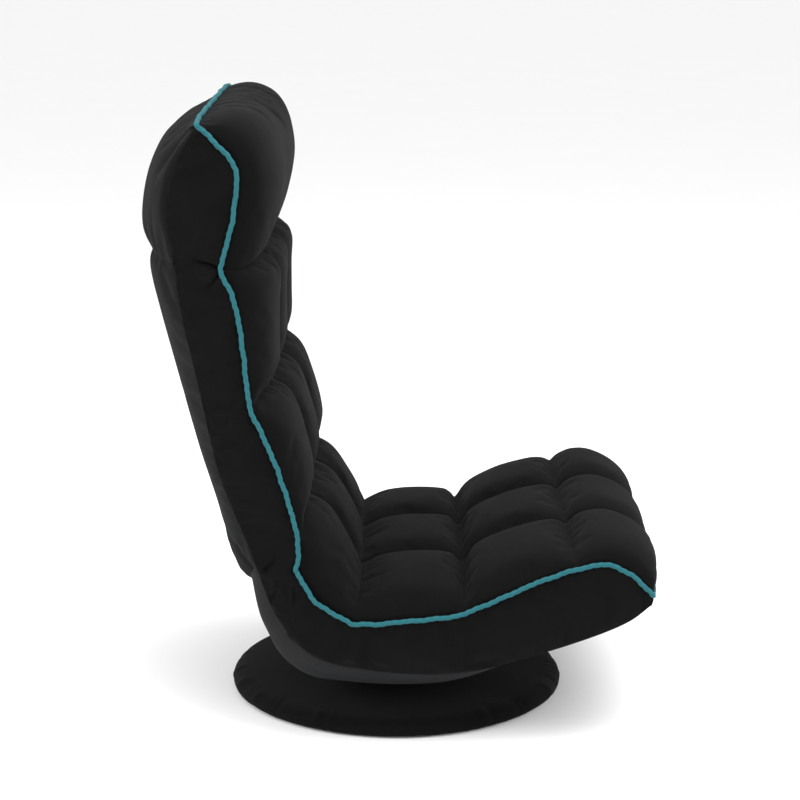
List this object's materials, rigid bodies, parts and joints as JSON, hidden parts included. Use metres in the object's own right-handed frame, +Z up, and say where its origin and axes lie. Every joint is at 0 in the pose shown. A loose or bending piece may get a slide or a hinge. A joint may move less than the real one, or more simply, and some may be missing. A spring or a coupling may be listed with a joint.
{
  "type": "floor gaming chair",
  "caption": "Padded floor chair with a quilted seat and folding, reclining back, contrast piping and a round swivel base.",
  "frame": {"origin": "on the floor at the centre of the base disc, on the axis the seat turns about", "axes": "+Z up, the sitter faces -Y, +X is the sitter's left"},
  "size_m": [0.56, 0.6976, 0.8522],
  "materials": {
    "cover_black": "matte",
    "lining_grey": "matte",
    "piping_teal": "matte",
    "foam": "matte",
    "webbing": "matte",
    "steel_black": "satin",
    "steel_zinc": "satin",
    "plywood": "matte",
    "rubber": "matte",
    "nylon": "matte"
  },
  "bodies": {
    "base": {"base_grip_pad": "rubber", "base_board": "plywood", "base_padding": "foam", "base_cover": "cover_black", "base_spacer": "plywood", "swivel_lower_plate": "steel_zinc", "swivel_lower_bolts": "steel_zinc", "swivel_lower_nuts": "steel_zinc", "swivel_king_pin": "steel_zinc"},
    "ball_ring": {"swivel_ball_cage": "nylon", "swivel_balls": "steel_zinc"},
    "seat": {"swivel_upper_plate": "steel_zinc", "swivel_mount_plate": "steel_black", "swivel_upper_bolts": "steel_zinc", "swivel_upper_nuts": "steel_zinc", "seat_rail_left": "steel_black", "seat_rail_right": "steel_black", "seat_cross_front": "steel_black", "seat_cross_middle_front": "steel_black", "seat_cross_middle_rear": "steel_black", "seat_cross_rear": "steel_black", "seat_webbing": "webbing", "seat_foam": "foam", "seat_quilt_rear": "cover_black", "seat_quilt_middle": "cover_black", "seat_quilt_front": "cover_black", "seat_front_panel": "cover_black", "seat_bottom_cover": "lining_grey", "seat_piping": "piping_teal", "quilt_crease": "cover_black", "rear_flap": "cover_black", "seat_side_panel_left": "cover_black", "seat_side_panel_right": "cover_black", "hinge_cheeks_left": "steel_zinc", "hinge_cheeks_right": "steel_zinc", "hinge_pins": "steel_zinc", "hinge_pawl_pins": "steel_zinc", "hinge_pawl_springs": "steel_zinc", "hinge_seat_rivets": "steel_zinc"},
    "pawl_left": {"hinge_pawl_left": "steel_zinc"},
    "pawl_right": {"hinge_pawl_right": "steel_zinc"},
    "back": {"hinge_sector_left": "steel_zinc", "hinge_sector_right": "steel_zinc", "hinge_back_rivets": "steel_zinc", "back_tube_left": "steel_black", "back_tube_right": "steel_black", "back_cross_lower": "steel_black", "back_cross_upper": "steel_black", "head_cross": "steel_black", "back_webbing": "webbing", "back_foam": "foam", "back_quilt_middle": "cover_black", "back_quilt_upper": "cover_black", "head_foam": "foam", "head_quilt": "cover_black", "back_rear_pad": "cover_black", "head_rear_pad": "cover_black", "back_piping": "piping_teal", "back_side_panel_left": "cover_black", "back_side_panel_right": "cover_black"}
  },
  "joints": [
    {"name": "seat_swivel", "type": "hinge", "parent": "base", "child": "seat", "pos_m": [0, 0, 0.039], "axis": [0, 0, 1], "continuous": true},
    {"name": "ball_ring_roll", "type": "hinge", "parent": "base", "child": "ball_ring", "pos_m": [0, 0, 0.039], "axis": [0, 0, 1], "continuous": true},
    {"name": "back_recline", "type": "hinge", "parent": "seat", "child": "back", "pos_m": [0, 0.16, 0.258], "axis": [1, 0, 0], "range_deg": [-26, 84], "deforming": ["quilt_crease", "rear_flap"]},
    {"name": "pawl_left_lift", "type": "hinge", "parent": "seat", "child": "pawl_left", "pos_m": [0.2253, 0.142, 0.222], "axis": [1, 0, 0], "range_deg": [0, 8], "stiffness_Nm_per_rad": 0.05},
    {"name": "pawl_right_lift", "type": "hinge", "parent": "seat", "child": "pawl_right", "pos_m": [-0.2253, 0.142, 0.222], "axis": [1, 0, 0], "range_deg": [0, 8], "stiffness_Nm_per_rad": 0.05}
  ],
  "couplings": [
    {"joint": "ball_ring_roll", "follows": "seat_swivel", "ratio": 0.5},
    {"joint": "pawl_right_lift", "follows": "pawl_left_lift", "ratio": 1}
  ]
}
